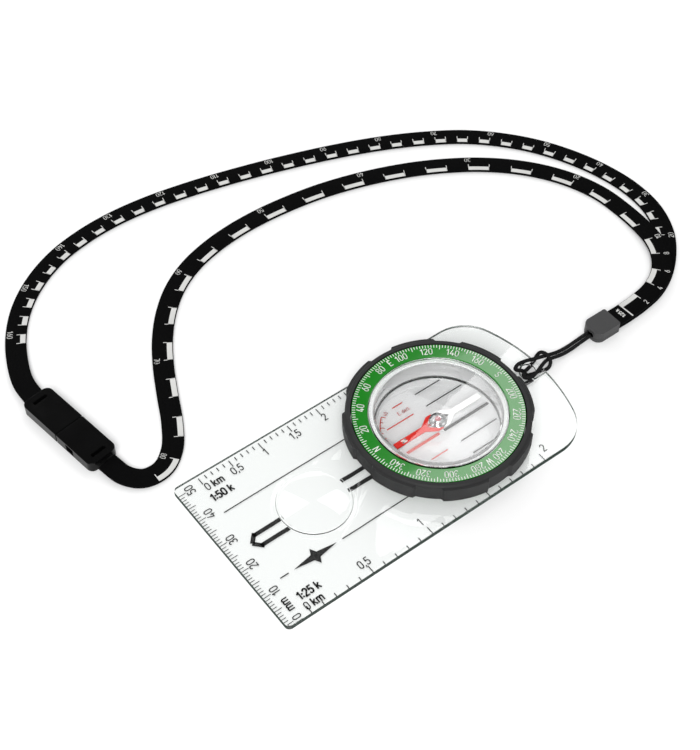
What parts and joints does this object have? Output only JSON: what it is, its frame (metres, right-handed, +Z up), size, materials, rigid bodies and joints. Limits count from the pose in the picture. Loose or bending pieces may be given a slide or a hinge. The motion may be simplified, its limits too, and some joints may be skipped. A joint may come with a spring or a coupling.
{
  "type": "baseplate compass",
  "caption": "Clear baseplate orienteering compass with ruler scales, magnifier, turning graduated dial, free needle and a neck lanyard with breakaway buckle.",
  "frame": {"origin": "under the middle of the baseplate, on the surface that the compass lies on", "axes": "+Y along the direction of travel, +X to the right of it, +Z up out of the dial"},
  "size_m": [0.157, 0.2039, 0.0094],
  "materials": {
    "clear_acrylic": "clear polished acrylic",
    "dark_rubber": "fine matt moulded rubber",
    "green_plastic": "satin printed plastic with white graduations",
    "bright_steel": "fine ground steel",
    "red_plastic": "satin paint",
    "white_plastic": "satin paint",
    "jewel": "polished synthetic jewel",
    "black_cord": "braided polyester",
    "black_tape": "woven polyester tape with white printed scale",
    "grey_plastic": "fine matt moulding",
    "black_plastic": "satin black moulding"
  },
  "bodies": {
    "baseplate": {"baseplate": "clear_acrylic", "drag_ring": "dark_rubber", "lanyard_cord": "black_cord", "clamp_lower": "grey_plastic", "clamp_upper": "grey_plastic", "tape_short": "black_tape", "tape_long": "black_tape", "buckle_socket": "black_plastic"},
    "dial": {"grip_ring": "dark_rubber", "graduated_ring": "green_plastic", "capsule_cup": "clear_acrylic", "capsule_seal": "dark_rubber", "capsule_lid": "clear_acrylic", "pivot_pin": "bright_steel"},
    "needle": {"needle_north": "red_plastic", "needle_south": "white_plastic", "needle_hub": "clear_acrylic", "jewel_bearing": "jewel", "needle_magnet": "bright_steel"},
    "buckle_plug": {"buckle_plug": "black_plastic"}
  },
  "joints": [
    {"name": "dial_turn", "type": "hinge", "parent": "baseplate", "child": "dial", "pos_m": [0, -0.0166, 0.005], "axis": [0, 0, 1], "continuous": true},
    {"name": "needle_swing", "type": "hinge", "parent": "dial", "child": "needle", "pos_m": [0, -0.0166, 0.0046], "axis": [0, 0, 1], "continuous": true},
    {"name": "buckle_release", "type": "slide", "parent": "baseplate", "child": "buckle_plug", "axis": [0.9903, 0.1392, 0], "range_m": [0, 0.009], "deforming": ["tape_long"]}
  ]
}
